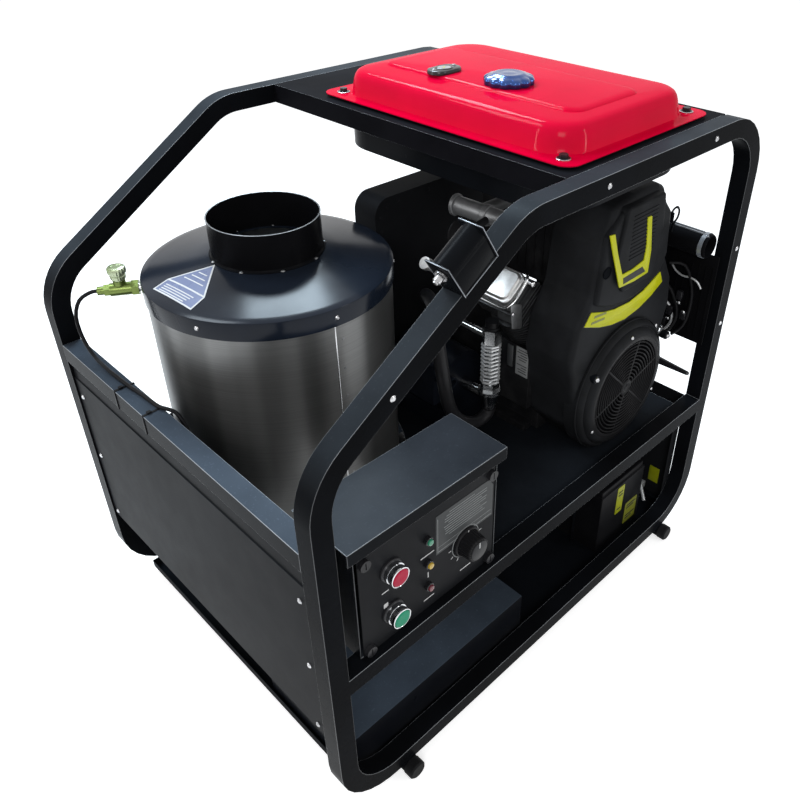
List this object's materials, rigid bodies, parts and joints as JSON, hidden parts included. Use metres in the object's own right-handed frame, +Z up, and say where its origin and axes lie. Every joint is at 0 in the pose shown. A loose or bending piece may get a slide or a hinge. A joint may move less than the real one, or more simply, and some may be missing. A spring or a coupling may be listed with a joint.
{
  "type": "pressure washer",
  "caption": "Skid-mounted hot-water pressure washer with tubular frame, petrol engine, belt-driven plunger pump, upright coil boiler, control box and fuel tank",
  "frame": {"origin": "centre of the bounding box on the floor under the rubber foot caps", "axes": "+X runs along the frame from the raked boiler end to the engine end, +Y runs across from the control panel side to the far side, +Z is up"},
  "size_m": [1.1215, 0.864, 1.1452],
  "materials": {
    "frame_black": "satin black powder coat",
    "platform_black": "satin black powder coat",
    "pan_black": "semi-gloss black paint",
    "bar_black": "black paint",
    "foot_rubber": "matt black rubber",
    "panel_grey": "satin dark grey paint",
    "screw_zinc": "bright zinc plated",
    "box_black": "gloss black paint",
    "face_black": "satin black with a fine grain",
    "fastener_black": "knurled black",
    "button_red": "lit red lens",
    "button_green": "lit green lens",
    "bezel_chrome": "polished chrome",
    "lamp_lens": "clear coloured lenses",
    "knob_black": "satin black plastic",
    "tank_black": "semi-gloss black paint",
    "cap_black": "black plastic",
    "battery_case": "yellow-green plastic",
    "clamp_zinc": "zinc plated",
    "tank_red": "gloss red paint",
    "bolt_black": "black oxide",
    "cap_blue": "blue anodised metal",
    "gauge_black": "black plastic with a clear window",
    "stainless": "brushed stainless sheet",
    "lid_black": "gloss black enamel",
    "coil_steel": "drawn steel tube",
    "refractory": "dark cast liner",
    "burner_dark": "dark red paint",
    "wheel_zinc": "zinc plated sheet",
    "motor_grey": "dark grey paint",
    "fitting_brass": "dull brass",
    "cap_steel": "nickel plated",
    "pipe_steel": "bright steel",
    "cable_black": "black sheathed cable",
    "case_cast": "grey cast alloy",
    "cylinder_alloy": "finned cast alloy",
    "piston_alloy": "machined alloy",
    "cover_alloy": "bright cast alloy",
    "shroud_grey": "grained moulded plastic",
    "grille_black": "black wire grille",
    "fan_black": "moulded plastic",
    "shaft_steel": "machined steel",
    "belt_rubber": "black rubber",
    "pump_paint": "cast pump casing with brass head",
    "valve_steel": "nickel plated fittings",
    "spring_steel": "bright spring wire",
    "hose_rubber": "black rubber hose",
    "duct_alloy": "grey cast duct",
    "muffler_black": "heat-proof black",
    "lever_black": "black plastic",
    "eye_steel": "plated steel ring",
    "coil_black": "gloss black can"
  },
  "bodies": {
    "frame": {"side_frame_near": "frame_black", "side_frame_far": "frame_black", "end_rail": "frame_black", "top_platform": "platform_black", "foot_bars": "bar_black", "foot_caps": "foot_rubber", "floor_pan": "pan_black", "end_panel": "panel_grey", "sheet_screws": "screw_zinc", "deck_plate": "platform_black", "control_box": "box_black", "face_plate": "face_black", "face_fasteners": "fastener_black", "button_bezels": "bezel_chrome", "indicator_lamps": "lamp_lens", "burner_tank": "tank_black", "battery": "battery_case", "battery_clamp": "clamp_zinc", "tank_upper": "tank_red", "tank_lower": "tank_black", "tank_bolts": "bolt_black", "fuel_gauge": "gauge_black", "boiler_barrel": "stainless", "boiler_lid": "lid_black", "flue_collar": "lid_black", "heating_coil": "coil_steel", "boiler_base": "refractory", "burner_housing": "burner_dark", "burner_motor": "motor_grey", "tee_fitting": "fitting_brass", "outlet_pipe": "pipe_steel", "sensor_cable": "cable_black", "crankcase": "case_cast", "cylinders": "cylinder_alloy", "pistons": "piston_alloy", "valve_covers": "cover_alloy", "fan_shroud": "shroud_grey", "fan_grille": "grille_black", "drive_belt": "belt_rubber", "pump_body": "pump_paint", "unloader_valve": "valve_steel", "unloader_spring": "spring_steel", "pump_hose": "hose_rubber", "guard_plate": "platform_black", "air_duct": "duct_alloy", "muffler": "muffler_black", "lifting_eye": "eye_steel", "ignition_coil": "coil_black"},
    "fuel_cap": {"fuel_cap": "cap_blue"},
    "burner_tank_cap": {"burner_tank_cap": "cap_black"},
    "control_knob": {"control_knob": "knob_black"},
    "red_button": {"red_button": "button_red"},
    "green_button": {"green_button": "button_green"},
    "crank": {"crankshaft": "shaft_steel", "cooling_fan": "fan_black"},
    "pump_drive": {"pump_pulley": "shaft_steel"},
    "burner_blower": {"burner_wheel": "wheel_zinc"},
    "unloader_knob": {"unloader_knob": "knob_black"},
    "throttle_lever": {"throttle_lever": "lever_black"},
    "relief_cap": {"relief_cap": "cap_steel"}
  },
  "joints": [
    {"name": "fuel_cap_turn", "type": "hinge", "parent": "frame", "child": "fuel_cap", "pos_m": [0.148, -0.108, 1.1257], "axis": [0, 0, 1], "range_deg": [0, 90]},
    {"name": "burner_tank_cap_turn", "type": "hinge", "parent": "frame", "child": "burner_tank_cap", "pos_m": [-0.199, -0.262, 0.1557], "axis": [0, 0, 1], "range_deg": [0, 90]},
    {"name": "control_knob_turn", "type": "hinge", "parent": "frame", "child": "control_knob", "pos_m": [-0.25, -0.396, 0.4907], "axis": [0, 1, 0], "range_deg": [0, 270]},
    {"name": "red_button_push", "type": "slide", "parent": "frame", "child": "red_button", "axis": [0, 1, 0], "range_m": [0, 0.004], "stiffness_N_per_m": 400},
    {"name": "green_button_push", "type": "slide", "parent": "frame", "child": "green_button", "axis": [0, 1, 0], "range_m": [0, 0.004], "stiffness_N_per_m": 400},
    {"name": "crankshaft_spin", "type": "hinge", "parent": "frame", "child": "crank", "pos_m": [0.3, 0, 0.5077], "axis": [0, 1, 0], "continuous": true},
    {"name": "pump_pulley_spin", "type": "hinge", "parent": "frame", "child": "pump_drive", "pos_m": [0.092, 0, 0.5077], "axis": [0, 1, 0], "continuous": true},
    {"name": "burner_wheel_spin", "type": "hinge", "parent": "frame", "child": "burner_blower", "pos_m": [0.081, 0.125, 0.1337], "axis": [0, 1, 0], "continuous": true},
    {"name": "unloader_knob_turn", "type": "hinge", "parent": "frame", "child": "unloader_knob", "pos_m": [0.091, -0.14, 0.6657], "axis": [0, 0, 1], "range_deg": [-180, 180]},
    {"name": "throttle_lever_swing", "type": "hinge", "parent": "frame", "child": "throttle_lever", "pos_m": [0.478, -0.3, 0.4767], "axis": [-1, 0, 0], "range_deg": [0, 35]},
    {"name": "relief_cap_turn", "type": "hinge", "parent": "frame", "child": "relief_cap", "pos_m": [-0.46585, 0.26675, 0.8257], "axis": [0, 0, 1], "range_deg": [0, 90]}
  ],
  "couplings": [
    {"joint": "pump_pulley_spin", "follows": "crankshaft_spin", "ratio": 0.625}
  ]
}
